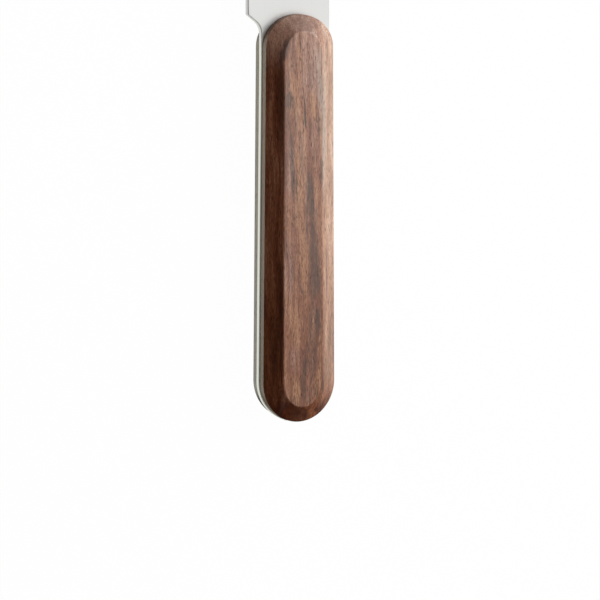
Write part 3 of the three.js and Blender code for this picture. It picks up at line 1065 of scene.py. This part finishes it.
select_nothing()
bpy.ops.mesh.primitive_plane_add(size=FLOOR_SIZE, location=(0, 0, -FLOOR_GAP * MM))
floor = bpy.context.object
floor.name = "floor"
bpy.ops.object.transform_apply(location=True, rotation=True, scale=True)


def white_table():
    table = Finish("white_table")
    seen, mirrored = table.rays()
    place = table.coordinates("Object")
    away = table.vectors("LENGTH", place, (0, 0, 0), "Value")
    by_heel = table.step(table.part(place, "Y"), HEEL_SHADE_Y * MM, HEEL_ROOT_Y * MM)
    pool = (1 - table.step(away, POOL_START * MM, POOL_END * MM)) * (1 - HEEL_SHADE * by_heel)
    # The faint glow for bounced rays is painted bounce light on the knife.
    bounced = (1 - seen) * (1 - mirrored) * FLOOR_GLOW_BOUNCED
    glowing = (seen + mirrored * pool) * FLOOR_GLOW_SEEN + bounced
    matt = table.node("ShaderNodeBsdfDiffuse", {}, {"Color": (*TABLE_WHITE, 1)})
    glow_colour = table.mix(mirrored * (1 - by_heel), WHITE, TABLE_MIRRORED)
    glow = table.node("ShaderNodeEmission", {}, {"Color": glow_colour, "Strength": 1.0})
    return table.surface(table.node("ShaderNodeMixShader", {}, {0: glowing, 1: matt, 2: glow}))


dress(floor, white_table())

# %% [markdown]
# ## The light
# A large lamp low on the right models the chamfers, a soft one overhead lights the facet and the steel,
# and the left side is left dim. The lamps give matt light only. What shines mirrors the studio's walls,
# which are bright on the right and towards the point, dimmer between wall and ceiling, and shaded in a
# corner on the left. That is how a small product studio with one bright side looks in polished things.

# %% Hang the lamps
def lamp(name, towards, distance, width, height, radiance):
    """A soft lamp that faces the handle from that way; its power follows from how bright its face is."""
    way = Vector(towards).normalized()
    aim = Vector((0, 0, TANG_MIDDLE_Z * MM))
    turn = way.to_track_quat("Z", "Y").to_euler()
    bpy.ops.object.light_add(type="AREA", location=aim + way * distance, rotation=turn)
    made = bpy.context.object
    made.name = name
    made.data.shape = "RECTANGLE"
    made.data.size = width
    made.data.size_y = height
    made.data.energy = radiance * math.pi * width * height
    made.visible_glossy = False
    print(name, "at", [round(v, 2) for v in made.location], f"{made.data.energy:.1f} W")


lamp("key_lamp", towards=(0.82, 0.40, 0.38), distance=0.6, width=0.9, height=0.6, radiance=4.7)
lamp("top_lamp", towards=(0.46, 0.20, 0.88), distance=0.8, width=0.78, height=0.74, radiance=0.97)

# %% Wrap the studio round it
WALL_MATT = 0.02
WALL_PLAIN = 0.40
WALL_BRIGHT = 0.87
WALL_SHADE = 0.22
WALL_DIP = 0.45
WALL_FALL_OFF = 0.35
WALL_OVERHEAD = 0.32
SHADE_WAY = (-0.90, -0.17, 0.40)


def studio_walls():
    """White to the camera; in reflections, bright on the right and towards the point, and dim elsewhere."""
    walls = Finish("studio", bpy.data.worlds.new("studio"))
    seen, mirrored = walls.rays()
    way = walls.coordinates("Generated")
    ahead = walls.part(way, "Y")
    up = walls.part(way, "Z")
    to_right = walls.step(walls.part(way, "X"), -0.2, 0.3)
    to_front = walls.step(ahead, -0.6, 0.0) * (1 - WALL_FALL_OFF * walls.step(ahead, 0.1, 0.7))
    dip = walls.step(up, 0.1, 0.3) * (1 - walls.step(up, 0.55, 0.85)) * (1 - walls.step(ahead, 0.2, 0.6))
    overhead = WALL_OVERHEAD * walls.step(up, 0.55, 0.9)
    bright = to_right * (WALL_BRIGHT * to_front * (1 - WALL_DIP * dip) + overhead)
    shade = walls.step(walls.vectors("DOT_PRODUCT", way, SHADE_WAY, "Value"), 0.5, 0.85)
    reflected = mirrored * (WALL_PLAIN + bright - WALL_SHADE * shade)
    strength = seen + reflected + (1 - seen) * (1 - mirrored) * WALL_MATT
    light = {"Color": (*WHITE, 1), "Strength": strength}
    return walls.surface(walls.node("ShaderNodeBackground", {}, light))


bpy.context.scene.world = studio_walls()

# %% [markdown]
# ## Colours
# Colours are shown as they are written.

# %% Finish
bpy.context.scene.view_settings.view_transform = "Standard"
